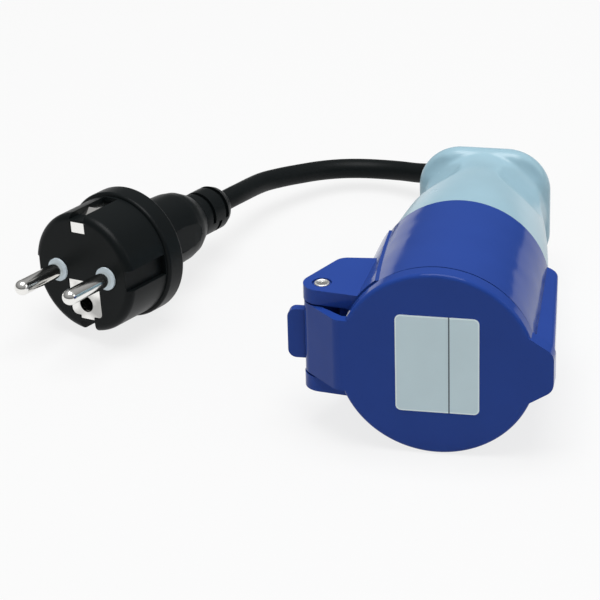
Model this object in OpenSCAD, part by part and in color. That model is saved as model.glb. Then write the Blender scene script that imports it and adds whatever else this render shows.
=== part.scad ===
// Adapter lead: a round mains plug, a short cord and a round industrial connector with a sprung lid.
// Millimetres, +Z up. The connector lies on its lid's skirt and its collar's rear edge, the plug beside it.

/* [Contacts] */
// Diameter of the contact carrier, which the collar and the lid are built round
carrier_d = 36.6; // [36:0.1:37]
// Radius of the circle the contacts stand on
contact_ring = 9; // [8.6:0.1:9.4]
// Bore of the line and neutral contacts
contact_bore = 5.1; // [5:0.05:5.2]
// Bore of the earth contact
earth_bore = 7.1; // [7:0.05:7.2]
// Wall of the contact sleeves
contact_wall = 1.4; // [1:0.1:1.6]

/* [Collar] */
// Ring gap between the contact carrier and the socket's bore
socket_gap = 4; // [3.8:0.1:4.2]
// Wall of the collar
collar_wall = 3.5; // [3:0.1:4]
// Draft of the collar, from its rear end out to its shoulder behind the lid
shoulder_out = 2.4; // [1.4:0.1:2.4]
// End of the collar behind the lid's face
collar_end = 54.4; // [53:0.2:56]
// Bottom of the socket behind the lid's face
socket_end = 43; // [40:0.5:44]
// Width of the keyway in the socket
keyway_w = 7; // [6:0.1:8]
// Height of the keyway rib over the collar, at its rear end
rib_out = 2.8; // [2.4:0.1:3.4]
// Further height of the keyway rib at the lid
rib_rise = 4.2; // [2:0.1:4.4]
// Width of the keyway rib's top
rib_w = 10.4; // [9.6:0.2:12]

/* [Lid] */
// Gap between the collar and the lid's skirt
skirt_gap = 0.5; // [0.4:0.1:0.8]
// Thickness of the lid's face and skirt
lid_wall = 2.2; // [1.8:0.1:2.4]
// Depth of the lid's skirt, from the front face
lid_skirt = 4.8; // [4.4:0.1:5.2]
// Open seam between the lid's skirt and the collar's shoulder
seam = 1; // [0.5:0.1:1.2]
// Rounding of the lid's front edge
lid_edge = 1.2; // [0.6:0.1:1.6]
// Height of the lid's lug over its rim
lug_out = 4.8; // [4:0.1:6]
// Width of the hinge plate
plate_w = 22.4; // [20:0.2:24]
// Radius of the hinge plate's bend
bend_r = 4; // [3.2:0.1:4.6]
// Distance of the hinge plate's bend from the hinge pin
bend_in = 7.6; // [7:0.1:8.4]
// Reach of the thumb tab beyond the hinge pin
tab_out = 10.5; // [9:0.5:13]
// Width of the thumb tab
tab_w = 15.6; // [12:0.2:18]
// Thickness of the thumb tab
tab_t = 2.8; // [2:0.1:3.2]

/* [Hinge] */
// Distance of the hinge pin from the lid's rim
hinge_out = 6; // [5.6:0.1:7]
// Distance of the hinge pin behind the lid's face
pin_z = 13; // [12.5:0.1:14]
// Height of the hinge's middle over the connector's axis
hinge_up = 1; // [0:0.1:1.4]
// Diameter of the hinge pin
pin_d = 4.5; // [4:0.1:5]
// Radius of the lid's hinge barrel
barrel_r = 5.2; // [4.8:0.1:5.4]
// Radius of the collar's hinge ears
ear_r = 5.4; // [5:0.1:6]
// Thickness of each hinge ear
ear_t = 4.5; // [3.5:0.1:5.5]
// Running clearance of the lid on its pin
hinge_fit = 0.08; // [0.03:0.01:0.1]
// Side gap between hinge plate and ears
ear_gap = 0.6; // [0.4:0.1:1]

/* [Grip] */
// Step from the collar's side in to the grip's front
grip_step = 0.6; // [0.3:0.1:1]
// Bowing radius of the grip's side
grip_bow = 300; // [240:4:400]
// Lean of the grip's side at the collar, in degrees
grip_lean = 4.5; // [3.6:0.1:5]
// Step from the collar's side in to the flats of the grip's square rim
rim_in = 5.4; // [4.6:0.1:6]
// Corner radius of the square rim
rim_corner = 13.4; // [12:0.2:15]
// Place of the rear rim behind the lid's face
rim_at = 103.5; // [102:0.5:106]
// Rounding of the rear rim
rim_round = 3.5; // [3:0.1:4]
// Radius of the finger scoops
scoop_r = 32.6; // [30:0.2:36]
// Radius of the finger scoops under the rim
scoop_end_r = 6.5; // [5.6:0.1:7]
// Depth of the finger scoops under the rim's flats
scoop_depth = 3; // [2.4:0.1:3.4]

/* [Cord] */
// Diameter of the cord
cord_d = 6.5; // [6:0.1:7]
// Length of the cord sleeve outside the grip
sleeve_out = 5; // [4:0.5:8]

/* [Plug] */
// Diameter of the plug's front
face_d = 38; // [37:0.1:38.6]
// Depth of the plug's front
face_depth = 17.4; // [16.5:0.1:18]
// Step from the plug's front out to its flange
flange_out = 1.1; // [1:0.1:1.8]
// Thickness of the flange
flange_t = 7; // [5:0.2:8]
// Diameter of the plug's rear grip
rear_d = 23; // [21:0.2:24]
// Diameter of the plug's strain relief
relief_d = 14.2; // [13.4:0.1:14.8]
// Distance between the two pins
pin_pitch = 19; // [18.8:0.1:19.2]
// Diameter of the plug's pins
plug_pin_d = 4.8; // [4.7:0.05:4.9]
// Length of the plug's pins
plug_pin_l = 19; // [18:0.25:19.5]
// Bore of the plug's earth socket
earth_socket_d = 5; // [4.9:0.05:5.1]

/* [Hidden] */
$fn = 64;
blue = "#384F9E";
grey = "#A9C6D1";
black = "#1F2223";
pale = "#C9D2D4";
steel = "#C4C7CA";
brass_tint = "#C9A24B";

// rings from the carrier outwards
carrier_r = carrier_d / 2;
socket_r = carrier_r + socket_gap;
collar_r = socket_r + collar_wall;
lid_r = collar_r + skirt_gap + lid_wall;
lug_reach = lid_r + lug_out;
rib_reach = collar_r + rib_out;
shoulder_r = collar_r + shoulder_out;
rib_edge = 2.6;
keyway_reach = rib_reach - rib_edge;
pin_x = lid_r + hinge_out;
tab_reach = pin_x + tab_out;
pin_r = pin_d / 2;
cord_r = cord_d / 2;

// gasket height and the gap it leaves before the collar
gasket_t = 0.8;
shut_gap = 0.3;
collar_front = lid_wall + gasket_t + shut_gap;

// hinge plate: straight from the barrel to a bend that touches the lid's plane
wrap_t = 3;
bend_x = -pin_x + bend_in;
knuckle_in = plate_w / 2 - 4.8;
ear_in = plate_w / 2 + ear_gap;
ear_root = socket_r - 3.8;
tab_z = pin_z + 0.6;
tab_edge = 2.5;
pocket_r = pin_r + 1.65;
knuckle_r = barrel_r - 0.15;
tab_root = -pin_x - pocket_r - 0.1;
lug_edge = 4;

// inside of the collar
throat_r = carrier_r + 0.3;
seat_z = socket_end + 3;
seat_r = socket_r + 0.7;
carrier_front = 7;
carrier_back = seat_z + 4;
rib_front = lid_skirt + seam;
rib_end = collar_end - 0.4;
rib_top = rib_reach + rib_rise;
rib_lean = atan(rib_rise / (rib_end - rib_front));
rib_over = 0.3;
rib_root = 12;
rib_draft = 4;
saddle_out = 0.7;
saddle_front = 22.6;
saddle_rear = 15.6;
saddle_end = collar_end - 2;
web_z = pin_z + 13.4;
web_r = 1.2;

// contacts
sleeve_front = carrier_front + 2.5;
sleeve_bottom = socket_end + 1;
terminal_z = carrier_back + 7;
terminal_end = carrier_back + 12;
wire_r = 1.4;
screw_r = 1.5;
core_z = rim_at - 18;
wire_bow = 13;

// pieces that slide into each other
slip = 0.1;
shell_t = 2.7;

// grip: circle of the bowed side, rim circle and the waist fillet that touches both
rim_r = collar_r - rim_in;
scoop_floor = rim_r - scoop_depth;
grip_end = rim_at + rim_round;
grip_r = collar_r - grip_step;
bow_c = [grip_r - grip_bow * cos(grip_lean), collar_end - grip_bow * sin(grip_lean)];
rim_edge = 0.5;
rim_c = [rim_r - rim_edge - rim_round, rim_at];
rim_off = rim_r - rim_corner;
waist_round = 25;
waist_c = meet(bow_c, grip_bow + waist_round, rim_c, rim_round + waist_round);
waist_z = bow_c[1] + (waist_c[1] - bow_c[1]) * grip_bow / (grip_bow + waist_round);
scoop_at = rim_at - 8.5;
wall_z = grip_end - 6;
neck_r = cord_r + 3.9;
sleeve_end = grip_end + sleeve_out;
lip_r = cord_r + 1.5;
core_r = scoop_floor - shell_t;
spigot_r = seat_r - slip;
spigot_t = 2.3;

// cord clamp and sleeve
claw_r = cord_r + 2;
claw_t = 1.4;
claw_spread = 1.2;
claw_slit = 1.2;
disc_t = 4;
disc_z = wall_z - 7.5;
foot_t = 3.5;
foot_r = neck_r + 2.4;
collar_lip = 0.9;

// lying pose of the connector: the lid's skirt edge and the collar's rear edge touch the floor
rest_tilt = atan((lid_r - collar_r) / (collar_end - lid_skirt));
axis_x = (tab_reach - lug_reach) / 2;
front_y = lid_edge * cos(rest_tilt) - (lid_r - lid_edge) * sin(rest_tilt) - lid_edge;
mid_y = (sleeve_end * cos(rest_tilt) + lip_r * sin(rest_tilt) + front_y) / 2;
axis_z = lid_skirt * sin(rest_tilt) + lid_r * cos(rest_tilt);

// lying pose of the plug, on its flange's rear edge
plug_x = -115.4;
plug_y = 49;
plug_yaw = -25.8;
plug_pitch = 5.5;
plug_roll = 7.6;
face_r = face_d / 2;
flange_r = face_r + flange_out;
rear_r = rear_d / 2;
relief_r = relief_d / 2;
flange_back = face_depth + flange_t;
plug_neck = flange_back + 28.1;
plug_end = plug_neck + 15.1;
plug_z = flange_back * sin(plug_pitch) + flange_r * cos(plug_pitch);
plug_dir = [-sin(plug_yaw) * cos(plug_pitch), cos(plug_yaw) * cos(plug_pitch), -sin(plug_pitch)];
earth_y = 10;
face_edge = 2.4;
groove_w = 6.4;
groove_in = 2;
clip_w = 5.4;
clip_t = 0.8;
clip_fold = 3.4;
upper_dive = 16.4;
lower_dive = 14.9;

// cord route: along the connector's axis, through free air, into the plug
exit_dir = [0, cos(rest_tilt), -sin(rest_tilt)];
exit_at = [0, 0, axis_z] + sleeve_end * exit_dir;
plug_at = [plug_x, plug_y, plug_z] + plug_end * plug_dir;
free_route = [[-1.4, 125.6, 20.2], [-4.2, 132.4, 18.4], [-8.6, 138.4, 16], [-14.4, 143, 13.4],
  [-21, 147.2, 11], [-27.8, 150.4, 9], [-35, 153.4, 7.8], [-42, 154.8, 7.2],
  [-48.6, 154.6, 7.2], [-55, 152.8, 7.6], [-61.2, 149.2, 8.4], [-66.8, 144, 9.6],
  [-72.2, 138, 11], [-77.2, 130.6, 12.6]];
route = concat([exit_at - (sleeve_end - core_z) * exit_dir, exit_at - 2 * exit_dir, exit_at + 4 * exit_dir],
  free_route, [plug_at + 9 * plug_dir, plug_at + 3 * plug_dir, plug_at - 4 * plug_dir,
  plug_at - 22 * plug_dir]);

// radius of the collar's drafted side
function side_r(z) = collar_r + shoulder_out * (collar_end - z) / (collar_end - rib_front);

// place where two circles meet, on the far side of the line between them
function meet(a, ra, b, rb) =
  let (d = norm(b - a), u = (b - a) / d, k = (ra * ra - rb * rb + d * d) / (2 * d))
  a + u * k + [u[1], -u[0]] * sqrt(ra * ra - k * k);

// outward normal of the belt line from circle a to circle b
function belt_normal(a, b) =
  let (d = [b[0] - a[0], b[1] - a[1]], l = norm(d), k = (a[2] - b[2]) / l)
  d / l * k + [d[1], -d[0]] / l * sqrt(1 - k * k);

// belt round circles [x, y, r] listed counter-clockwise
module belt(c) {
  n = len(c);
  polygon([for (i = [0:n - 1])
    for (m = [belt_normal(c[(i + n - 1) % n], c[i]), belt_normal(c[i], c[(i + 1) % n])])
      [c[i][0], c[i][1]] + c[i][2] * m]);
  for (p = c)
    if (p[2] > 0)
      translate([p[0], p[1]]) circle(r = p[2]);
}

// smooth curve through points, n steps a span
function curve_at(a, b, c, d, t) =
  b + (c - a) * t / 2 + (2 * a - 5 * b + 4 * c - d) * t * t / 2 + (3 * b - a - 3 * c + d) * t * t * t / 2;
function curve(p, n) = concat([for (i = [0:len(p) - 2]) for (k = [0:n - 1])
  curve_at(p[max(i - 1, 0)], p[i], p[i + 1], p[min(i + 2, len(p) - 1)], k / n)], [p[len(p) - 1]]);

// round tube swept along points, never steep against the reference direction
module tube(p, r, sides, ref) {
  n = len(p);
  ring = [for (i = [0:n - 1])
    let (t = p[min(i + 1, n - 1)] - p[max(i - 1, 0)], f = t / norm(t), s = cross(f, ref), e = s / norm(s),
      g = cross(e, f))
      for (k = [0:sides - 1]) p[i] + r * (cos(360 * k / sides) * e + sin(360 * k / sides) * g)];
  side = [for (i = [0:n - 2]) for (k = [0:sides - 1])
    [i * sides + k, i * sides + (k + 1) % sides, (i + 1) * sides + (k + 1) % sides, (i + 1) * sides + k]];
  ends = [[for (k = [sides - 1:-1:0]) k], [for (k = [0:sides - 1]) (n - 1) * sides + k]];
  polyhedron(ring, concat(side, ends));
}

// connector frame: z behind the lid's face, x to the right, y down
module lying() {
  translate([axis_x, -mid_y, axis_z]) rotate([-rest_tilt, 0, 0]) rotate([-90, 0, 0]) children();
}

// plug frame: z behind the plug's face, x to the right, y down
module plug_place() {
  translate([axis_x + plug_x, plug_y - mid_y, plug_z]) rotate([0, 0, plug_yaw]) rotate([-plug_pitch, 0, 0])
    rotate([0, -plug_roll, 0]) rotate([-90, 0, 0]) children();
}

// plate cut from a drawing in x and z, from y0 on, t thick
module slab(y0, t) {
  translate([0, y0 + t, 0]) rotate([90, 0, 0]) linear_extrude(t) children();
}

// the same on both sides of the middle plane
module both_sides() {
  children();
  mirror([0, 1, 0]) children();
}

// the same on both sides of the hinge's middle
module both_hinge_sides() {
  translate([0, -hinge_up, 0]) both_sides() children();
}

module ear() {
  slab(ear_in, ear_t)
    belt([[-pin_x, pin_z, ear_r], [-ear_root, lid_skirt + 0.4, 0], [-ear_root, pin_z + 17.6, 0],
      [-pin_x + 5.1, pin_z + 12.6, 4]]);
}

// keyway rib: a leaning bar with drafted sides, cut to a wedge with a rounded rear end
module rib() {
  intersection() {
    translate([rib_top + rib_over, 0, rib_front]) rotate([0, -rib_lean, 0]) translate([0, 0, -5])
      linear_extrude(70)
        belt([[-rib_edge, rib_edge - rib_w / 2, rib_edge], [-rib_edge, rib_w / 2 - rib_edge, rib_edge],
          [-rib_root, rib_w / 2 + rib_draft, 0], [-rib_root, -rib_w / 2 - rib_draft, 0]]);
    slab(-20, 40)
      belt([[10, rib_front, 0], [rib_top, rib_front, 0], [rib_reach - 3, rib_end - 3, 3], [10, rib_end, 0]]);
  }
}

// raised bed of the hinge: narrower towards the rear, and open between the ears
module saddle() {
  difference() {
    intersection() {
      translate([0, 0, rib_front])
        cylinder(r1 = shoulder_r + saddle_out, r2 = side_r(saddle_end) + saddle_out,
          h = saddle_end - rib_front);
      rotate([0, -90, 0]) linear_extrude(40)
        polygon([[rib_front, -saddle_front], [saddle_end, -saddle_rear], [saddle_end, saddle_rear],
          [rib_front, saddle_front]]);
    }
    translate([-50, -ear_in - hinge_up, 0]) cube([50, 2 * ear_in, web_z]);
  }
}

module collar() {
  color(blue) lying() difference() {
    union() {
      rotate_extrude()
        polygon([[0, collar_front], [collar_r - 0.6, collar_front], [collar_r, collar_front + 0.6],
          [collar_r, rib_front], [shoulder_r, rib_front], [collar_r, collar_end], [0, collar_end]]);
      rib();
      both_hinge_sides() ear();
      slab(-ear_in - hinge_up - slip, 2 * (ear_in + slip))
        belt([[-pin_x + 3.1, web_z, web_r], [-ear_root, web_z - web_r, 0], [-ear_root, web_z + web_r, 0]]);
      saddle();
    }
    cylinder(r = socket_r, h = socket_end);
    translate([0, -keyway_w / 2, 0]) cube([keyway_reach, keyway_w, socket_end]);
    cylinder(r = throat_r, h = collar_end + 1);
    translate([0, 0, seat_z]) cylinder(r = seat_r, h = collar_end);
    translate([-pin_x, 0, pin_z]) rotate([90, 0, 0]) cylinder(r = pin_r + 0.02, h = 60, center = true);
    both_hinge_sides() translate([-pin_x, ear_in + ear_t + 1, pin_z]) rotate([90, 0, 0])
      cylinder(r = pin_r + 0.6, h = 1.6);
  }
}

module lid() {
  color(blue) lying() difference() {
    union() {
      rotate_extrude() {
        polygon([[0, 0], [lid_r - lid_edge, 0], [lid_r, lid_edge], [lid_r, lid_skirt], [0, lid_skirt]]);
        translate([lid_r - lid_edge, lid_edge]) circle(r = lid_edge);
      }
      linear_extrude(lid_skirt)
        belt([[lug_reach - lug_edge, -3.6, lug_edge], [lug_reach - lug_edge, 3.6, lug_edge],
          [22, 13, 0], [22, -13, 0]]);
      slab(-plate_w / 2 - hinge_up, plate_w) difference() {
        belt([[bend_x, bend_r, bend_r], [-20, 0, 0], [-20, lid_skirt, 0], [-pin_x, pin_z, barrel_r]]);
        belt([[bend_x, bend_r, bend_r - wrap_t], [-15, wrap_t, 0], [-15, pin_z + 20, 0],
          [-pin_x - 1, pin_z + 20, 0], [-pin_x, pin_z, pocket_r]]);
      }
      both_hinge_sides() slab(knuckle_in, plate_w / 2 - knuckle_in)
        translate([-pin_x, pin_z]) circle(r = knuckle_r);
      translate([0, 0, tab_z]) linear_extrude(tab_t)
        belt([[tab_edge - tab_reach, tab_w / 2 - tab_edge, tab_edge],
          [tab_edge - tab_reach, tab_edge - tab_w / 2, tab_edge],
          [tab_root, -tab_w / 2, 0], [tab_root, tab_w / 2, 0]]);
    }
    translate([0, 0, lid_wall]) cylinder(r = lid_r - lid_wall, h = 20);
    translate([-pin_x, 0, pin_z]) rotate([90, 0, 0]) cylinder(r = pin_r + hinge_fit, h = 60, center = true);
  }
}

module lid_gasket() {
  color(black) lying() rotate_extrude() translate([socket_r + 0.2, lid_wall])
    square([collar_r - socket_r - 0.4, gasket_t]);
}

module hinge_pin() {
  color(steel) lying() translate([-pin_x, -hinge_up, pin_z]) rotate([90, 0, 0])
    cylinder(r = pin_r, h = 2 * (ear_in + ear_t) - 0.6, center = true);
}

// closing spring: near six turns round the pin, one leg to the collar, one inside the lid's curve
module lid_spring() {
  coil_r = pin_r + 0.7;
  coil_l = 2 * knuckle_in - 2;
  turn = [for (i = [0:93])
    [coil_r * cos(90 + i * 22.5), coil_l * (i / 93 - 0.5), -coil_r * sin(90 + i * 22.5)]];
  last = turn[93];
  color(steel) lying() translate([-pin_x, -hinge_up, pin_z])
    tube(concat([turn[0] + [pin_x - shoulder_r + 0.7, 0, 0], turn[0] + [3, 0, 0]], turn,
      [last + [0.9, 0.1, -1], last + [1.2, 0.2, -5.2]]), 0.4, 6, [0, 1, 0]);
}

module grip_side() {
  difference() {
    union() {
      intersection() {
        translate(bow_c) circle(r = grip_bow, $fn = 720);
        translate([0, collar_end]) square([2 * collar_r, waist_z - collar_end]);
      }
      translate([0, waist_z]) square([rim_r - rim_edge, rim_at - waist_z]);
    }
    translate(waist_c) circle(r = waist_round);
  }
  translate(rim_c) circle(r = rim_round);
  translate([0, rim_at]) square([rim_c[0], rim_round]);
}

// half section of a disc with a round edge
module round_disc(r) {
  translate([0, -rim_round]) square([r - rim_round, 2 * rim_round]);
  translate([r - rim_round, 0]) circle(r = rim_round);
}

// square rim with round corners and a round edge all the way
module square_rim() {
  translate([0, 0, rim_at]) {
    for (i = [0:3])
      rotate(45 + 90 * i) translate([rim_off * sqrt(2), 0, 0]) rotate_extrude() round_disc(rim_corner);
    for (i = [0:1])
      rotate(90 * i) rotate([90, 0, 0]) linear_extrude(2 * rim_off, center = true) {
        round_disc(rim_r);
        mirror([1, 0]) round_disc(rim_r);
      }
  }
}

// finger scoop: long run in from the collar, short run up to the rim
module scoop() {
  slab(-30, 60) {
    intersection() {
      translate([scoop_floor + scoop_r, scoop_at]) circle(r = scoop_r, $fn = 96);
      translate([0, scoop_at - scoop_r]) square([scoop_floor + scoop_r, scoop_r]);
    }
    translate([scoop_floor + scoop_end_r, scoop_at]) circle(r = scoop_end_r);
  }
}

// rear shell: bowed side, square rim and four finger scoops
module grip() {
  color(grey) lying() difference() {
    union() {
      rotate_extrude() grip_side();
      square_rim();
      translate([0, 0, carrier_back]) cylinder(r = spigot_r, h = collar_end - carrier_back + 1);
    }
    rotate_extrude()
      polygon([[0, 0], [spigot_r - spigot_t, 0], [spigot_r - spigot_t, collar_end + 9], [core_r, core_z],
        [core_r, wall_z], [0, wall_z]]);
    cylinder(r = neck_r + slip, h = grip_end + 1);
    for (i = [0:3])
      rotate(45 + 90 * i) scoop();
  }
}

module at_contact(i) {
  rotate(120 * i) translate([contact_ring, 0, 0]) children();
}

function bore_of(i) = (i == 0 ? earth_bore : contact_bore) / 2;

module contact_carrier() {
  color(grey) lying() difference() {
    rotate_extrude()
      polygon([[0, carrier_front], [carrier_r - 0.8, carrier_front], [carrier_r, carrier_front + 0.8],
        [carrier_r, seat_z], [seat_r - 0.2, seat_z], [seat_r - 0.2, carrier_back], [0, carrier_back]]);
    for (i = [0:2])
      at_contact(i) {
        cylinder(r = bore_of(i) + 0.2, h = carrier_back);
        translate([0, 0, sleeve_front]) cylinder(r = bore_of(i) + contact_wall + 0.05, h = carrier_back);
      }
  }
}

// turned sleeve with the wire's hole and the screw's thread in its rear end
module contact(i) {
  color(brass_tint) lying() at_contact(i) difference() {
    translate([0, 0, sleeve_front]) cylinder(r = bore_of(i) + contact_wall, h = terminal_end - sleeve_front);
    translate([0, 0, sleeve_front - 1]) cylinder(r = bore_of(i), h = sleeve_bottom - sleeve_front + 1);
    translate([0, 0, terminal_z - 5]) cylinder(r = wire_r + 0.1, h = 20);
    translate([0, 0, terminal_z]) rotate([0, 90, 0]) cylinder(r = screw_r + 0.02, h = 12);
  }
}

module line_contact() {
  contact(1);
}

module neutral_contact() {
  contact(2);
}

module earth_contact() {
  contact(0);
}

module terminal_screws() {
  color(steel) lying() for (i = [0:2])
    at_contact(i) translate([0, 0, terminal_z]) rotate([0, 90, 0]) difference() {
      union() {
        translate([0, 0, wire_r + 0.1]) cylinder(r = screw_r, h = 4.5);
        translate([0, 0, wire_r + 3.7]) cylinder(r = 2.4, h = 1.6);
      }
      translate([-3, -0.4, wire_r + 4.5]) cube([6, 0.8, 2]);
    }
}

// core from its terminal to the cord's cut end
module wire(i, tint) {
  a = [cos(120 * i), sin(120 * i)];
  color(tint) lying()
    tube(curve([for (p = [[contact_ring, terminal_z - 4.5], [contact_ring, terminal_end + 1],
      [0.93 * contact_ring, terminal_end + wire_bow / 2], [0.6 * contact_ring, terminal_end + wire_bow],
      [wire_r + 1, core_z - 4], [wire_r + 0.3, core_z]])
        [a[0] * p[0], a[1] * p[0], p[1]]], 3), wire_r, 8, [a[1], -a[0], 0.01]);
}

module line_wire() {
  wire(1, "#6B4A2E");
}

module neutral_wire() {
  wire(2, "#3C6FB5");
}

module earth_wire() {
  wire(0, "#8FA83A");
}

// claw ring: a disc across the grip with six claws round the sleeve
module cord_clamp() {
  color(grey) lying() difference() {
    union() {
      translate([0, 0, disc_z]) cylinder(r = core_r - slip, h = disc_t);
      translate([0, 0, core_z + 0.5])
        cylinder(r1 = claw_r + claw_t, r2 = claw_r + claw_t + claw_spread, h = disc_z - core_z);
    }
    cylinder(r = claw_r, h = grip_end);
    for (i = [0:2])
      rotate(60 * i + 30) translate([-12, -claw_slit / 2, core_z]) cube([24, claw_slit, disc_z - core_z - 1]);
  }
}

module cord_sleeve() {
  color(black) lying() rotate_extrude() difference() {
    polygon([[0, core_z], [claw_r - slip, core_z], [claw_r - slip, wall_z - foot_t], [foot_r, wall_z - foot_t],
      [foot_r, wall_z], [neck_r, wall_z], [neck_r, grip_end], [neck_r + collar_lip, grip_end],
      [neck_r + collar_lip, grip_end + 1], [neck_r + 0.2, grip_end + 1.8], [lip_r, sleeve_end],
      [0, sleeve_end]]);
    square([cord_r + 0.04, sleeve_end + 1]);
  }
}

module cord() {
  color(black) translate([axis_x, -mid_y, 0]) tube(curve(route, 3), cord_r, 12, [0, 0, 1]);
}

// side profile of the moulded plug
module plug_side() {
  polygon([[0, 0], [face_r - face_edge, 0], [face_r, face_edge], [face_r, face_depth],
    [flange_r - 1, face_depth], [flange_r, face_depth + 1],
    [flange_r, flange_back - 1], [flange_r - 1, flange_back],
    [rear_r + 3.6, flange_back], [rear_r + 1.6, flange_back + 2.6], [rear_r + 0.4, flange_back + 7],
    [rear_r, flange_back + 12], [rear_r - 0.4, plug_neck - 9], [rear_r - 1.1, plug_neck - 5.6],
    [rear_r - 2.9, plug_neck - 2], [relief_r - 0.2, plug_neck], [relief_r, plug_neck + 1.4],
    [relief_r, plug_end - 4.2], [relief_r - 0.8, plug_end - 2.2], [cord_r + 1.4, plug_end], [0, plug_end]]);
  translate([face_r - face_edge, face_edge]) circle(r = face_edge);
  translate([flange_r - 1, face_depth + 1]) circle(r = 1);
  translate([flange_r - 1, flange_back - 1]) circle(r = 1);
}

// slot over one half of the strain relief, so that it can bend
module relief_slot(z, side) {
  intersection() {
    translate([0, 0, z]) rotate_extrude() translate([relief_r - 1, 0]) square([3, 1.5]);
    translate([-15, side > 0 ? 2 : -17, z - 1]) cube([30, side > 0 ? 15 : 19, 4]);
  }
}

// room for an earth clip: fold on the face, way in, slot along the side and its open front
module clip_room(d) {
  translate([-clip_w / 2 - slip, 0, 0]) {
    translate([0, d - clip_fold - slip, -1]) cube([clip_w + 2 * slip, clip_fold + 2 * slip, 2.2]);
    translate([0, d - clip_t - slip, 0]) cube([clip_w + 2 * slip, clip_t + 2 * slip, 5.6]);
    translate([0, d - clip_t - slip, 5]) cube([clip_w + 2 * slip, face_r + 1 - d + clip_t, face_depth - 6]);
    translate([0, d + 0.8, -1]) cube([clip_w + 2 * slip, face_r - d, 7]);
  }
}

// outline of the earth plate round its socket
module earth_plate(grow) {
  belt([[-6 - grow, 2.5 - grow, 0], [6 + grow, 2.5 - grow, 0],
    [4.2, 12.1, 1.8 + grow], [-4.2, 12.1, 1.8 + grow]]);
}

module plug_body() {
  color(black) plug_place() difference() {
    rotate_extrude() plug_side();
    translate([-pin_pitch / 2, 0, -1]) cylinder(r = 2.05, h = 21.2);
    translate([pin_pitch / 2, 0, -1]) cylinder(r = 2.05, h = 21.2);
    translate([0, 0, 2]) linear_extrude(6.05)
      belt([[-pin_pitch / 2, 0, 4.65], [pin_pitch / 2, 0, 4.65]]);
    for (s = [-1, 1])
      translate([s * pin_pitch / 2, 0, -1]) cylinder(r = 3.65, h = 4);
    translate([0, earth_y, -1]) cylinder(r = earth_socket_d / 2 + 0.75, h = 16.2);
    mirror([0, 1, 0]) clip_room(upper_dive);
    clip_room(lower_dive);
    translate([0, 0, -1]) linear_extrude(2.2) earth_plate(slip);
    for (s = [-1, 1])
      translate([s * face_r - groove_in, -groove_w / 2, -1]) cube([2 * groove_in, groove_w, face_depth + 0.6]);
    for (s = [-1, 1])
      translate([s * (rear_r + 2.6), 0, flange_back + 14]) rotate([0, s * 90, 0]) translate([0, 0, -3.4])
        linear_extrude(5) belt([[-5, -2.4, 1.6], [5, -2.4, 1.6], [5, 2.4, 1.6], [-5, 2.4, 1.6]]);
    relief_slot(plug_neck + 3, -1);
    relief_slot(plug_neck + 6.2, 1);
    relief_slot(plug_neck + 9.4, -1);
    translate([0, 0, plug_end - 22.2]) cylinder(r = cord_r + 0.04, h = 23);
  }
}

module pin_bridge() {
  color(pale) plug_place() difference() {
    union() {
      translate([0, 0, 2]) linear_extrude(6)
        belt([[-pin_pitch / 2, 0, 4.6], [pin_pitch / 2, 0, 4.6]]);
      for (s = [-1, 1])
        translate([s * pin_pitch / 2, 0, -0.6]) cylinder(r = 3.6, h = 3);
    }
    for (s = [-1, 1])
      translate([s * pin_pitch / 2, 0, -2]) cylinder(r = 2.05, h = 12);
  }
}

// pin with a round tip and a thinner root
module plug_pin(s) {
  r = plug_pin_d / 2;
  color(steel) plug_place() translate([s * pin_pitch / 2, 0, 0]) rotate_extrude() {
    intersection() {
      translate([0, r - plug_pin_l]) circle(r = r);
      translate([0, -plug_pin_l - 1]) square([r, r + 1]);
    }
    translate([0, r - plug_pin_l]) square([r, plug_pin_l - r - 0.6]);
    translate([0, -1]) square([2, 21]);
  }
}

module line_pin() {
  plug_pin(1);
}

module neutral_pin() {
  plug_pin(-1);
}

// folded strip: front fold on the face, way in behind the front edge, spring leg along the plug's side
module clip_strip(d) {
  rotate([90, 0, 90]) translate([0, 0, -clip_w / 2]) linear_extrude(clip_w)
    polygon([[d - clip_fold, 0.3], [d, 0.3], [d, 5], [face_r - 0.8, 9], [face_r - 1.6, 15.6],
      [face_r - 2.4, 15.6], [face_r - 1.7, 9.3], [d - clip_t, 5.4], [d - clip_t, 1.1], [d - clip_fold, 1.1]]);
}

module upper_earth_clip() {
  color(steel) plug_place() mirror([0, 1, 0]) clip_strip(upper_dive);
}

module lower_earth_clip() {
  color(steel) plug_place() difference() {
    union() {
      clip_strip(lower_dive);
      translate([0, 0, 0.3]) linear_extrude(clip_t) earth_plate(0);
    }
    translate([0, earth_y, -1]) cylinder(r = earth_socket_d / 2 + 0.1, h = 4);
  }
}

module earth_socket() {
  color(steel) plug_place() translate([0, earth_y, 1.2]) difference() {
    cylinder(r = earth_socket_d / 2 + 0.7, h = 13.9);
    translate([0, 0, -1]) cylinder(r = earth_socket_d / 2, h = 16);
  }
}

collar();
lid();
lid_gasket();
hinge_pin();
lid_spring();
grip();
contact_carrier();
line_contact();
neutral_contact();
earth_contact();
terminal_screws();
line_wire();
neutral_wire();
earth_wire();
cord_clamp();
cord_sleeve();
cord();
plug_body();
pin_bridge();
line_pin();
neutral_pin();
upper_earth_clip();
lower_earth_clip();
earth_socket();
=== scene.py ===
"""Looks of an adapter lead: a round mains plug, a short cord and a blue industrial connector."""

import math

import bmesh
import bpy
from mathutils import Matrix, Vector


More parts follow.
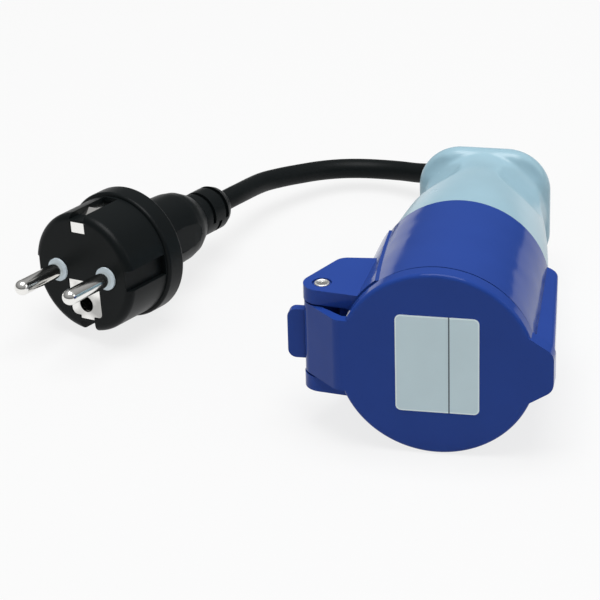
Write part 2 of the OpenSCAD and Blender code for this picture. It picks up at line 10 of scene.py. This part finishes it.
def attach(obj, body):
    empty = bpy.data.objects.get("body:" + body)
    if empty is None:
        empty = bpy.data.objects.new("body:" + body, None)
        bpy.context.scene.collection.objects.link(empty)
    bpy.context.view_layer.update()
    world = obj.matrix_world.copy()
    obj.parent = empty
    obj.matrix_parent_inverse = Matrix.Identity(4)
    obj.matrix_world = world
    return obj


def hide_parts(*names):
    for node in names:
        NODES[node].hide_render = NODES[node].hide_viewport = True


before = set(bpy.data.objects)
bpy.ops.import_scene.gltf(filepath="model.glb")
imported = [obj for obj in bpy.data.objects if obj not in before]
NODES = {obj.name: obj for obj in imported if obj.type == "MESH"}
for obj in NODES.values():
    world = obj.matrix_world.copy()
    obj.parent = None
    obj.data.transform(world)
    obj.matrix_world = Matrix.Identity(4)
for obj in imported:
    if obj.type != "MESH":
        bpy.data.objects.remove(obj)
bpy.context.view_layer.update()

bl_info = {
    "name": "Adapter lead looks",
    "version": (1, 0, 0),
    "blender": (4, 5, 0),
    "location": "View3D > Sidebar > Adapter lead",
    "description": "Dresses the adapter lead's solids with moulded plastic, rubber and nickel",
    "category": "Object",
}

MM = 0.001
MERGE_DISTANCE = 0.001 * MM
CONNECTOR, LID = "connector", "lid"

# The connector lies on its lid's skirt and its collar's rear edge: where its axis meets the lid's face,
# and how far it tilts.
AXIS_AT = Vector((5.85, -55.303, 28.719)) * MM
TILT = math.radians(3.1158)
CONNECTOR_TURN = Matrix.Rotation(-TILT, 3, "X") @ Matrix.Rotation(-math.pi / 2, 3, "X")

# The cord's route, as in the part's source: stations along the connector's axis, counted from the sleeve's
# end, then points in the air, then stations along the plug's axis, counted from the plug's end.
SLEEVE_END_MM = 112.0
CORE_END_MM = 85.5
LEAVING_MM = (CORE_END_MM - SLEEVE_END_MM, -2, 4)
FREE_ROUTE_MM = (
    (-1.4, 125.6, 20.2), (-4.2, 132.4, 18.4), (-8.6, 138.4, 16), (-14.4, 143, 13.4), (-21, 147.2, 11),
    (-27.8, 150.4, 9), (-35, 153.4, 7.8), (-42, 154.8, 7.2), (-48.6, 154.6, 7.2), (-55, 152.8, 7.6),
    (-61.2, 149.2, 8.4), (-66.8, 144, 9.6), (-72.2, 138, 11), (-77.2, 130.6, 12.6),
)
PLUG_END = Vector((-80.264, 54.278, 15.867)) * MM
PLUG_DIR = Vector((0.43323, 0.89617, -0.09585))
ENTERING_MM = (9, 3, -4, -22)
CORD_STEPS = 6
CORD_ROUNDNESS = 6

# Plastic: spans of flow mottle and sink marks, the mottle's share of tint, how far it takes roughness down
# and up, the grain's strength, and where a crease is shut, where it is open and how dark its painted shade
# gets.
FLOW_SPAN_MM = 14
SINK_SPAN_MM = 16
FLOW_TINT = 0.06
GLOSS_DOWN, GLOSS_UP = 0.04, 0.05
GRAIN_STRENGTH = 0.6
CREASE_SHUT, CREASE_OPEN, CREASE_SHADE = 0.3, 0.8, 0.2
PLASTIC_IOR = 1.5

# Plating: span of handling marks, the factors by which they take roughness down and up, and where a stain
# is full, where it ends and how dark it gets.
RUB_SPAN_MM = 0.5
RUB_DOWN, RUB_UP = 0.6, 1.5
STAIN_FULL, STAIN_NONE, STAIN_SHADE = 0.35, 0.6, 0.5

# Roundings: faces across a soft edge and the least angle that gets one, passes that melt the grip's creases,
# sides and steps of the hinge pin's rims, and faces across the bare plate's corners.
EDGE_FACES, EDGE_ANGLE = 3, math.radians(32)
MELT_PASSES = 10
RIM_SIDES, RIM_STEPS = 10, 40
CORNER_FACES = 8

# The bare plate's middle on the lid's face, right of the connector's axis and down from it.
LABEL_AT_MM = (0.4, -0.2)
FILM_SURFACE = {"specular": 0.3, "grain_mm": 1.5, "grain_depth_mm": 0.004}

# The studio, in metres and watts: half the floor's side, the camera's sensor and reach, and for each lamp
# its name, place, aim, side and power.
FLOOR_HALF = 3
SENSOR_MM = 36
CAMERA_REACH = 20
LAMPS = (
    ("top_light", (0.0, -0.05, 1.1), (0, 0, 0), 0.7, 11.0),
    ("right_light", (1.1, 0.0, 0.6), (0, 0, 0.02), 0.5, 1.2),
)


def linear(hex_colour):
    """An sRGB hex colour as linear red, green and blue."""
    channels = (int(hex_colour[i:i + 2], 16) / 255 for i in (1, 3, 5))
    return tuple(c / 12.92 if c <= 0.04045 else ((c + 0.055) / 1.055) ** 2.4 for c in channels)


def per_mm(size_mm):
    """Texture scale, in cells a metre, whose cells are this many millimetres across."""
    return 1 / (size_mm * MM)


def from_connector(x, y, z):
    """A point given in the connector's own frame, in metres: z behind the lid's face, x right, y down."""
    return AXIS_AT + CONNECTOR_TURN @ Vector((x, y, z))


def box_in_connector(node):
    """(lowest corner, highest corner) of a CAD node in the connector's own frame, in metres."""
    corners = [CONNECTOR_TURN.transposed() @ (v.co - AXIS_AT) for v in NODES[node].data.vertices]
    return Vector(map(min, zip(*corners))), Vector(map(max, zip(*corners)))


def colour(name, hex_colour, description):
    """A colour property with its default in linear light."""
    return bpy.props.FloatVectorProperty(
        name=name, description=description, subtype="COLOR", size=3, min=0, max=1, default=linear(hex_colour))


def length(name, mm, description):
    """A length property in metres."""
    return bpy.props.FloatProperty(
        name=name, description=description, subtype="DISTANCE", unit="LENGTH", min=0, default=mm * MM)


def angle(name, degrees, description):
    """An angle property in radians."""
    return bpy.props.FloatProperty(
        name=name, description=description, subtype="ANGLE", unit="ROTATION", default=math.radians(degrees))


def share(name, part, description):
    """A property between none and all."""
    return bpy.props.FloatProperty(
        name=name, description=description, subtype="FACTOR", min=0, max=1, default=part)


class LeadSizes(bpy.types.PropertyGroup):
    """Sizes of roundings and of the pieces that are added to the solids."""

    cord_d: length("Cord diameter", 6.5, "Outer diameter of the cord's sheath")
    shell_edge: length("Shell edge", 0.5, "Rounding of the edges of collar and lid")
    plug_edge: length("Plug edge", 0.4, "Rounding of the plug body's edges")
    grip_cell: length("Grip cell", 0.5, "Size of the cells in which the grip's creases melt")
    pin_rim_w: length("Pin rim", 0.7, "Width of the rounded rim on the hinge pin's ends")
    label_w: length("Label width", 23.9, "Width of the bare plate on the lid")
    label_h: length("Label height", 30.4, "Height of the bare plate on the lid")
    label_corner: length("Label corner", 1.6, "Corner rounding of the bare plate")
    label_rim: length("Label rim", 0.4, "Width of the bare plate's lighter rim")
    label_t: length("Label thickness", 0.2, "Thickness of the bare plate")
    label_line_w: length("Label line", 0.4, "Width of the ruled line that parts the bare plate")
    label_line_at: length("Label line place", 3.35, "Ruled line's distance right of the plate's middle")


class LeadColours(bpy.types.PropertyGroup):
    """Colours of the lead's materials."""

    blue: colour("Blue", "#254391", "Moulded blue of collar and lid")
    grey: colour("Grip grey", "#9BBCCA", "Pale blue-grey of the grip")
    black: colour("Black", "#101415", "Black of plug and cord")
    pale: colour("Pale plastic", "#D6E4EC", "Pale plastic of the pin bridge")
    nickel: colour("Nickel", "#F2F1EE", "Nickel plating of pins and clips")
    brass: colour("Brass", "#C9A453", "Turned brass of the contacts")
    steel: colour("Steel", "#D9DAD8", "Zinc plating of the hinge pin, the spring and the screws")
    # The pin rim's paler zinc is a painted highlight on the rounded rims.
    rim: colour("Pin rim", "#F4F5F3", "Zinc rubbed bright on the hinge pin's rims")
    line_core: colour("Line core", "#6B4A2E", "Brown sheath of the line core")
    neutral_core: colour("Neutral core", "#3C6FB5", "Blue sheath of the neutral core")
    earth_core: colour("Earth core", "#8FA83A", "Yellow-green sheath of the earth core")
    label: colour("Label", "#CDE2E8", "Film of the bare plate on the lid")
    label_border: colour("Label border", "#E6F6F8", "Clear edge of the bare plate")
    ink: colour("Ink", "#4A5560", "Ruled line on the bare plate")
    floor: colour("Floor", "#D8D8D8", "Pale studio paper")


class LeadStage(bpy.types.PropertyGroup):
    """Camera and light."""

    camera_at: bpy.props.FloatVectorProperty(
        name="Camera", description="Place of the camera", subtype="TRANSLATION", unit="LENGTH", size=3,
        default=(117.15 * MM, -765.392 * MM, 470.184 * MM))
    camera_heading: angle("Heading", 11.884, "Camera's turn to the left")
    camera_dip: angle("Dip", 30.236, "How far the camera looks down")
    camera_roll: angle("Roll", -2.369, "Camera's roll")
    camera_lens: bpy.props.FloatProperty(
        name="Lens", description="Focal length in millimetres", unit="CAMERA", default=180)
    paper_glow: share("Paper glow", 0.8, "How far the paper looks white, in place of its own lit shade")
    wall_light: share("Wall light", 0.1, "Light from the studio's walls at the floor's height")
    ceiling_light: share("Ceiling light", 0.52, "Light from the studio's ceiling, straight above")


def add(tree, kind, settings=None, **inputs):
    """Adds a node, sets its properties, and sets or links its inputs by name, or as i0, i1 by number."""
    node = tree.nodes.new(kind)
    for key, value in (settings or {}).items():
        setattr(node, key, value)
    for key, value in inputs.items():
        numbered = key[0] == "i" and key[1:].isdigit()
        socket = node.inputs[int(key[1:]) if numbered else key.replace("_", " ")]
        if isinstance(value, bpy.types.NodeSocket):
            tree.links.new(value, socket)
        else:
            socket.default_value = value
    return node


def new_material(name):
    """An empty material, its tree and its Principled shader, linked to the output."""
    material = bpy.data.materials.new(name)
    material.use_nodes = True
    tree = material.node_tree
    tree.nodes.clear()
    shader = add(tree, "ShaderNodeBsdfPrincipled")
    add(tree, "ShaderNodeOutputMaterial", Surface=shader.outputs["BSDF"])
    return material, tree, shader


def rgba(rgb, gain=1.0):
    """A colour, made lighter or darker, with full alpha."""
    return tuple(min(1.0, c * gain) for c in rgb) + (1.0,)


def moulded(name, rgb, roughness, specular=0.5, grain_mm=0.7, grain_depth_mm=0.01, crease_shade_mm=0.0,
            sink_mm=0.0):
    """Moulded plastic: a die-sunk grain, a faint flow mottle, shallow sink marks and painted shade in
    creases.
    """
    material, tree, shader = new_material(name)
    place = add(tree, "ShaderNodeTexCoord").outputs["Object"]
    flow = add(tree, "ShaderNodeTexNoise", Vector=place, Scale=per_mm(FLOW_SPAN_MM), Detail=3.0)
    tint = add(tree, "ShaderNodeMix", {"data_type": "RGBA"}, i0=flow.outputs["Fac"],
               i6=rgba(rgb, 1 - FLOW_TINT), i7=rgba(rgb, 1 + FLOW_TINT))
    gloss = add(tree, "ShaderNodeMapRange", Value=flow.outputs["Fac"],
                To_Min=roughness - GLOSS_DOWN, To_Max=roughness + GLOSS_UP)
    # A die's grain is finer than the render's pixels, so it is drawn several times coarser.
    grain = add(tree, "ShaderNodeTexNoise", Vector=place, Scale=per_mm(grain_mm), Detail=2.0)
    bump = add(tree, "ShaderNodeBump", Height=grain.outputs["Fac"], Distance=grain_depth_mm * MM,
               Strength=GRAIN_STRENGTH)
    if sink_mm:
        sink = add(tree, "ShaderNodeTexNoise", Vector=place, Scale=per_mm(SINK_SPAN_MM), Detail=1.0)
        bump = add(tree, "ShaderNodeBump", Height=sink.outputs["Fac"], Distance=sink_mm * MM,
                   Normal=bump.outputs["Normal"])
    skin = tint.outputs[2]
    # Painted shade: ambient occlusion darkens the colour where a crease is shut.
    if crease_shade_mm:
        room = add(tree, "ShaderNodeAmbientOcclusion", {"samples": 16, "only_local": True},
                   Distance=crease_shade_mm * MM)
        bare = add(tree, "ShaderNodeMapRange", Value=room.outputs["AO"],
                   From_Min=CREASE_SHUT, From_Max=CREASE_OPEN)
        skin = add(tree, "ShaderNodeMix", {"data_type": "RGBA"}, i0=bare.outputs["Result"],
                   i6=rgba(rgb, CREASE_SHADE), i7=skin).outputs[2]
    tree.links.new(skin, shader.inputs["Base Color"])
    tree.links.new(gloss.outputs["Result"], shader.inputs["Roughness"])
    tree.links.new(bump.outputs["Normal"], shader.inputs["Normal"])
    shader.inputs["Specular IOR Level"].default_value = specular
    shader.inputs["IOR"].default_value = PLASTIC_IOR
    return material


def plated(name, rgb, roughness, stain_mm=0.0):
    """Bright plated metal: clear reflections, blurred a little unevenly by handling, and grey stains."""
    material, tree, shader = new_material(name)
    place = add(tree, "ShaderNodeTexCoord").outputs["Object"]
    # Handling marks are finer than the render's pixels, so they are drawn several times coarser.
    rub = add(tree, "ShaderNodeTexNoise", Vector=place, Scale=per_mm(RUB_SPAN_MM), Detail=4.0)
    gloss = add(tree, "ShaderNodeMapRange", Value=rub.outputs["Fac"],
                To_Min=roughness * RUB_DOWN, To_Max=roughness * RUB_UP)
    tree.links.new(gloss.outputs["Result"], shader.inputs["Roughness"])
    shader.inputs["Base Color"].default_value = rgba(rgb)
    if stain_mm:
        patch = add(tree, "ShaderNodeTexNoise", Vector=place, Scale=per_mm(stain_mm), Detail=1.0)
        clean = add(tree, "ShaderNodeMapRange", Value=patch.outputs["Fac"],
                    From_Min=STAIN_FULL, From_Max=STAIN_NONE)
        tone = add(tree, "ShaderNodeMix", {"data_type": "RGBA"}, i0=clean.outputs["Result"],
                   i6=rgba(rgb, STAIN_SHADE), i7=rgba(rgb))
        tree.links.new(tone.outputs[2], shader.inputs["Base Color"])
    shader.inputs["Metallic"].default_value = 1.0
    return material


def dress(material, *names):
    """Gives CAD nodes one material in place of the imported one."""
    for name in names:
        slots = NODES[name].data.materials
        slots.clear()
        slots.append(material)


def soften(radius, *names):
    """Rounds the crisp edges of CAD nodes a little, as their moulds do."""
    for name in names:
        weld = NODES[name].modifiers.new("weld", "WELD")
        weld.merge_threshold = MERGE_DISTANCE
        bevel = NODES[name].modifiers.new("soft edge", "BEVEL")
        bevel.width = radius
        bevel.segments = EDGE_FACES
        bevel.limit_method = "ANGLE"
        bevel.angle_limit = EDGE_ANGLE
        even = NODES[name].modifiers.new("even light", "WEIGHTED_NORMAL")
        even.keep_sharp = True


def blend(cell, name):
    """Melts the shallow creases of a CAD node into each other, as in one smooth moulding."""
    cells = NODES[name].modifiers.new("even cells", "REMESH")
    cells.mode = "VOXEL"
    cells.voxel_size = cell
    cells.use_smooth_shade = True
    melt = NODES[name].modifiers.new("melt", "SMOOTH")
    melt.factor = 0.5
    melt.iterations = MELT_PASSES


def mesh_piece(name, bm, body, slot, *materials):
    """Makes a finished piece of a bmesh, and lets it ride on a body."""
    mesh = bpy.data.meshes.new(name)
    bm.to_mesh(mesh)
    bm.free()
    for material in materials:
        mesh.materials.append(material)
    piece = bpy.data.objects.new(name, mesh)
    bpy.context.scene.collection.objects.link(piece)
    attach(piece, body)


def smooth_through(points, steps):
    """A smooth curve through points, the same as the part's source draws."""
    found = []
    last = len(points) - 1
    for i in range(last):
        a, b, c, d = points[max(i - 1, 0)], points[i], points[i + 1], points[min(i + 2, last)]
        for k in range(steps):
            t = k / steps
            found.append(b + (c - a) * (t / 2) + (a * 2 - b * 5 + c * 4 - d) * (t * t / 2)
                         + (b * 3 - a - c * 3 + d) * (t ** 3 / 2))
    return found + [points[last]]


class LEAD_OT_blue_shells(bpy.types.Operator):
    """Gives collar and lid their moulded blue"""

    bl_idname = "lead.blue_shells"
    bl_label = "Blue collar and lid"

    def execute(self, context):
        # Polyamide from a polished mould: a deep blue with weak clear reflections that waver a little.
        # Its creases get painted shade from ambient occlusion.
        blue = moulded("blue moulded polyamide", context.scene.lead_colours.blue, roughness=0.11,
                       specular=0.1, crease_shade_mm=1.5, sink_mm=0.3)
        dress(blue, "collar", "lid")
        soften(context.scene.lead_sizes.shell_edge, "collar", "lid")
        return {"FINISHED"}


class LEAD_OT_grip(bpy.types.Operator):
    """Gives the grip and the insulating pieces inside their pale plastic"""

    bl_idname = "lead.grip"
    bl_label = "Grip"

    def execute(self, context):
        # Polyamide from a finely eroded mould: pale and silky.
        grey = moulded("pale blue-grey moulded polyamide", context.scene.lead_colours.grey, roughness=0.25,
                       specular=0.35, sink_mm=0.25)
        dress(grey, "grip", "contact_carrier", "cord_clamp")
        blend(context.scene.lead_sizes.grip_cell, "grip")
        return {"FINISHED"}


class LEAD_OT_plug(bpy.types.Operator):
    """Gives the plug its black moulding and its pale pin bridge"""

    bl_idname = "lead.plug"
    bl_label = "Plug"

    def execute(self, context):
        colours = context.scene.lead_colours
        # Soft PVC moulded round the pins: black, with a dull sheen.
        black = moulded("black moulded pvc", colours.black, roughness=0.38, specular=0.11)
        dress(black, "plug_body", "cord_sleeve", "lid_gasket")
        soften(context.scene.lead_sizes.plug_edge, "plug_body")
        # Glass-filled insulating plastic: pale and slightly shiny.
        dress(moulded("pale moulded bridge", colours.pale, roughness=0.4), "pin_bridge")
        return {"FINISHED"}


class LEAD_OT_metal(bpy.types.Operator):
    """Gives pins, clips, hinge pin, spring, screws and contacts their metals"""

    bl_idname = "lead.metal"
    bl_label = "Metal parts"

    def execute(self, context):
        colours = context.scene.lead_colours
        # Nickel on turned brass: warm bright reflections.
        nickel = plated("nickel-plated brass", colours.nickel, roughness=0.14)
        dress(nickel, "line_pin", "neutral_pin", "upper_earth_clip", "earth_socket")
        # Nickel on pressed sheet: bright, with greyer patches where it was handled.
        sheet = plated("nickel-plated sheet", colours.nickel, roughness=0.14, stain_mm=7)
        dress(sheet, "lower_earth_clip")
        # Zinc on drawn steel: pale, with a soft satin shine.
        zinc = plated("zinc-plated steel", colours.steel, roughness=0.25)
        dress(zinc, "hinge_pin", "lid_spring", "terminal_screws")
        # Bare turned brass: yellow, a little dull.
        brass = plated("turned brass", colours.brass, roughness=0.28)
        dress(brass, "line_contact", "neutral_contact", "earth_contact")
        return {"FINISHED"}


class LEAD_OT_pin_rims(bpy.types.Operator):
    """Turns a round rim on both ends of the hinge pin"""

    bl_idname = "lead.pin_rims"
    bl_label = "Hinge pin rims"

    def execute(self, context):
        sizes, colours = context.scene.lead_sizes, context.scene.lead_colours
        low, high = box_in_connector("hinge_pin")
        middle = (low + high) / 2
        half = sizes.pin_rim_w / 2
        bm = bmesh.new()
        for end in (low.y, high.y):
            ring = bmesh.ops.create_circle(bm, segments=RIM_SIDES, radius=half)["verts"]
            bmesh.ops.translate(bm, vec=(high.x - half, end, middle.z), verts=ring)
            around = list({edge for vert in ring for edge in vert.link_edges})
            bmesh.ops.spin(bm, geom=ring + around, cent=(middle.x, end, middle.z), axis=(0, 1, 0),
                           angle=math.tau, steps=RIM_STEPS, use_merge=True)
        bmesh.ops.remove_doubles(bm, verts=bm.verts, dist=MERGE_DISTANCE)
        bmesh.ops.recalc_face_normals(bm, faces=bm.faces)
        for face in bm.faces:
            face.smooth = True
        place = Matrix.Translation(AXIS_AT) @ CONNECTOR_TURN.to_4x4()
        bmesh.ops.transform(bm, matrix=place, verts=bm.verts)
        # The rims are rounded in the geometry; the paler zinc on them is a painted highlight: a pale ring.
        highlighted = plated("rubbed zinc", colours.rim, roughness=0.4)
        mesh_piece("hinge_pin_rims", bm, CONNECTOR, "nickel", highlighted)
        return {"FINISHED"}


class LEAD_OT_wires(bpy.types.Operator):
    """Gives the cores inside the grip their sheath colours"""

    bl_idname = "lead.wires"
    bl_label = "Cores"

    def execute(self, context):
        colours = context.scene.lead_colours
        cores = {
            "line_wire": colours.line_core,
            "neutral_wire": colours.neutral_core,
            "earth_wire": colours.earth_core,
        }
        for node, rgb in cores.items():
            # Extruded PVC: smooth and slightly waxy.
            dress(moulded("core sheath " + node, rgb, roughness=0.45), node)
        return {"FINISHED"}


class LEAD_OT_cord(bpy.types.Operator):
    """Lays the round cord along its route, from the grip's sleeve into the plug"""

    bl_idname = "lead.cord"
    bl_label = "Cord"

    def execute(self, context):
        sizes, colours = context.scene.lead_sizes, context.scene.lead_colours
        out = (from_connector(0, 0, 1) - from_connector(0, 0, 0)).normalized()
        leaves = from_connector(0, 0, SLEEVE_END_MM * MM)
        shift = Vector((AXIS_AT.x, AXIS_AT.y, 0))
        route = [leaves + out * (d * MM) for d in LEAVING_MM]
        route += [Vector(p) * MM + shift for p in FREE_ROUTE_MM]
        route += [PLUG_END + PLUG_DIR * (d * MM) for d in ENTERING_MM]
        points = smooth_through(route, CORD_STEPS)
        data = bpy.data.curves.new("cord_run", "CURVE")
        data.dimensions = "3D"
        data.bevel_depth = sizes.cord_d / 2
        data.bevel_resolution = CORD_ROUNDNESS
        data.use_fill_caps = True
        spline = data.splines.new("POLY")
        spline.points.add(len(points) - 1)
        for point, at in zip(spline.points, points):
            point.co = (*at, 1)
        spline.use_smooth = True
        cord = bpy.data.objects.new("cord_run", data)
        context.scene.collection.objects.link(cord)
        # Extruded rubber sheath: matt black with a faint dusty sheen.
        rubber = moulded("black rubber sheath", colours.black, roughness=0.45, specular=0.1, grain_mm=0.9)
        data.materials.append(rubber)
        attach(cord, CONNECTOR)
        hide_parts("cord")
        return {"FINISHED"}


class LEAD_OT_label(bpy.types.Operator):
    """Sticks the bare plate on the lid"""

    bl_idname = "lead.label"
    bl_label = "Bare label"

    def execute(self, context):
        sizes, colours = context.scene.lead_sizes, context.scene.lead_colours
        bm = bmesh.new()
        bmesh.ops.create_grid(bm, x_segments=1, y_segments=1, size=0.5)
        bmesh.ops.scale(bm, vec=(sizes.label_w, sizes.label_h, 1), verts=bm.verts)
        bmesh.ops.bevel(bm, geom=list(bm.verts), offset=sizes.label_corner, segments=CORNER_FACES,
                        profile=0.5, affect="VERTICES", material=-1)
        rim = bmesh.ops.inset_region(bm, faces=list(bm.faces), thickness=sizes.label_rim, use_boundary=True)
        for face in rim["faces"]:
            face.material_index = 1
        half_line = sizes.label_line_w / 2
        for side in (-half_line, half_line):
            bmesh.ops.bisect_plane(bm, geom=[*bm.verts, *bm.edges, *bm.faces], plane_no=(1, 0, 0),
                                   plane_co=(sizes.label_line_at + side, 0, 0))
        for face in bm.faces:
            if abs(face.calc_center_median().x - sizes.label_line_at) < half_line:
                face.material_index = 2
        bmesh.ops.solidify(bm, geom=list(bm.faces), thickness=-sizes.label_t)
        bmesh.ops.recalc_face_normals(bm, faces=list(bm.faces))
        right, down = LABEL_AT_MM
        middle = Matrix.Translation(from_connector(right * MM, down * MM, 0))
        stand = Matrix.Rotation(math.pi / 2 - TILT, 4, "X")
        bmesh.ops.transform(bm, matrix=middle @ stand, verts=bm.verts)
        # Polyester film, left bare: pale grey, smooth, with a lighter clear edge.
        film = moulded("bare polyester film", colours.label, roughness=0.3, **FILM_SURFACE)
        edge = moulded("clear film edge", colours.label_border, roughness=0.25, **FILM_SURFACE)
        # Screen ink: a dull dark line.
        ink = moulded("dark screen ink", colours.ink, roughness=0.5, **FILM_SURFACE)
        mesh_piece("lid_label", bm, LID, "pale_plastic", film, edge, ink)
        return {"FINISHED"}


class LEAD_OT_stage(bpy.types.Operator):
    """Sets the pale floor, the soft light and the camera"""

    bl_idname = "lead.stage"
    bl_label = "Stage"

    def execute(self, context):
        scene, stage = context.scene, context.scene.lead_stage
        scene.view_settings.view_transform = "Standard"

        bm = bmesh.new()
        bmesh.ops.create_grid(bm, x_segments=1, y_segments=1, size=FLOOR_HALF)
        mesh = bpy.data.meshes.new("studio_floor")
        bm.to_mesh(mesh)
        bm.free()
        floor = bpy.data.objects.new("studio_floor", mesh)
        scene.collection.objects.link(floor)
        # Seamless paper: the eye sees it white, and it keeps a faint shadow.
        paper = bpy.data.materials.new("studio paper")
        paper.use_nodes = True
        tree = paper.node_tree
        tree.nodes.clear()
        matt = add(tree, "ShaderNodeBsdfDiffuse", Color=rgba(scene.lead_colours.floor))
        white = add(tree, "ShaderNodeEmission", Color=(1, 1, 1, 1), Strength=1.0)
        path = add(tree, "ShaderNodeLightPath")
        direct = add(tree, "ShaderNodeMath", {"operation": "MAXIMUM"}, i0=path.outputs["Is Camera Ray"],
                     i1=path.outputs["Is Glossy Ray"])
        seen = add(tree, "ShaderNodeMath", {"operation": "MAXIMUM"}, i0=direct.outputs[0],
                   i1=path.outputs["Is Transmission Ray"])
        glow = add(tree, "ShaderNodeMath", {"operation": "MULTIPLY"}, i0=seen.outputs[0], i1=stage.paper_glow)
        mix = add(tree, "ShaderNodeMixShader", i0=glow.outputs[0], i1=matt.outputs[0], i2=white.outputs[0])
        add(tree, "ShaderNodeOutputMaterial", Surface=mix.outputs[0])
        mesh.materials.append(paper)

        world = bpy.data.worlds.new("studio")
        scene.world = world
        world.use_nodes = True
        tree = world.node_tree
        tree.nodes.clear()
        # Grey studio walls under a paler ceiling: dimmer than the paper, so that glossy sides show where
        # the paper ends.
        ray = add(tree, "ShaderNodeSeparateXYZ", Vector=add(tree, "ShaderNodeTexCoord").outputs["Generated"])
        level = add(tree, "ShaderNodeMapRange", Value=ray.outputs["Z"],
                    To_Min=stage.wall_light, To_Max=stage.ceiling_light)
        walls = add(tree, "ShaderNodeBackground", Color=(1, 1, 1, 1), Strength=level.outputs["Result"])
        add(tree, "ShaderNodeOutputWorld", Surface=walls.outputs[0])

        for name, at, aim, side, power in LAMPS:
            lamp = bpy.data.lights.new(name, "AREA")
            lamp.size = side
            lamp.energy = power
            light = bpy.data.objects.new(name, lamp)
            scene.collection.objects.link(light)
            light.location = at
            light.rotation_euler = (Vector(aim) - Vector(at)).to_track_quat("-Z", "Y").to_euler()

        camera = bpy.data.cameras.new("photo_camera")
        camera.lens = stage.camera_lens
        camera.sensor_width = SENSOR_MM
        camera.clip_end = CAMERA_REACH
        view = bpy.data.objects.new("photo_camera", camera)
        scene.collection.objects.link(view)
        view.matrix_world = (Matrix.Translation(Vector(stage.camera_at))
                             @ Matrix.Rotation(stage.camera_heading, 4, "Z")
                             @ Matrix.Rotation(math.pi / 2 - stage.camera_dip, 4, "X")
                             @ Matrix.Rotation(stage.camera_roll, 4, "Z"))
        scene.camera = view
        return {"FINISHED"}


class LEAD_PT_panel(bpy.types.Panel):
    """Sizes, colours and steps of the adapter lead"""

    bl_idname = "LEAD_PT_panel"
    bl_label = "Adapter lead"
    bl_space_type = "VIEW_3D"
    bl_region_type = "UI"
    bl_category = "Adapter lead"

    def draw(self, context):
        for group in ("lead_sizes", "lead_colours", "lead_stage"):
            settings = getattr(context.scene, group)
            for key in settings.__annotations__:
                self.layout.prop(settings, key)
        for step in STEPS:
            self.layout.operator(step.bl_idname)


STEPS = (
    LEAD_OT_stage, LEAD_OT_cord, LEAD_OT_blue_shells, LEAD_OT_grip, LEAD_OT_plug, LEAD_OT_metal,
    LEAD_OT_pin_rims, LEAD_OT_wires, LEAD_OT_label,
)
CLASSES = (LeadSizes, LeadColours, LeadStage, *STEPS, LEAD_PT_panel)


def register():
    """Registers the classes and hangs the settings on the scene."""
    for cls in CLASSES:
        bpy.utils.register_class(cls)
    bpy.types.Scene.lead_sizes = bpy.props.PointerProperty(type=LeadSizes)
    bpy.types.Scene.lead_colours = bpy.props.PointerProperty(type=LeadColours)
    bpy.types.Scene.lead_stage = bpy.props.PointerProperty(type=LeadStage)


def unregister():
    """Takes the settings off the scene and the classes out again."""
    del bpy.types.Scene.lead_stage
    del bpy.types.Scene.lead_colours
    del bpy.types.Scene.lead_sizes
    for cls in reversed(CLASSES):
        bpy.utils.unregister_class(cls)


def main():
    """Builds the looks in order."""
    register()
    bpy.ops.lead.stage()
    bpy.ops.lead.cord()
    bpy.ops.lead.blue_shells()
    bpy.ops.lead.grip()
    bpy.ops.lead.plug()
    bpy.ops.lead.metal()
    bpy.ops.lead.pin_rims()
    bpy.ops.lead.wires()
    bpy.ops.lead.label()


if __name__ == "__main__":
    main()
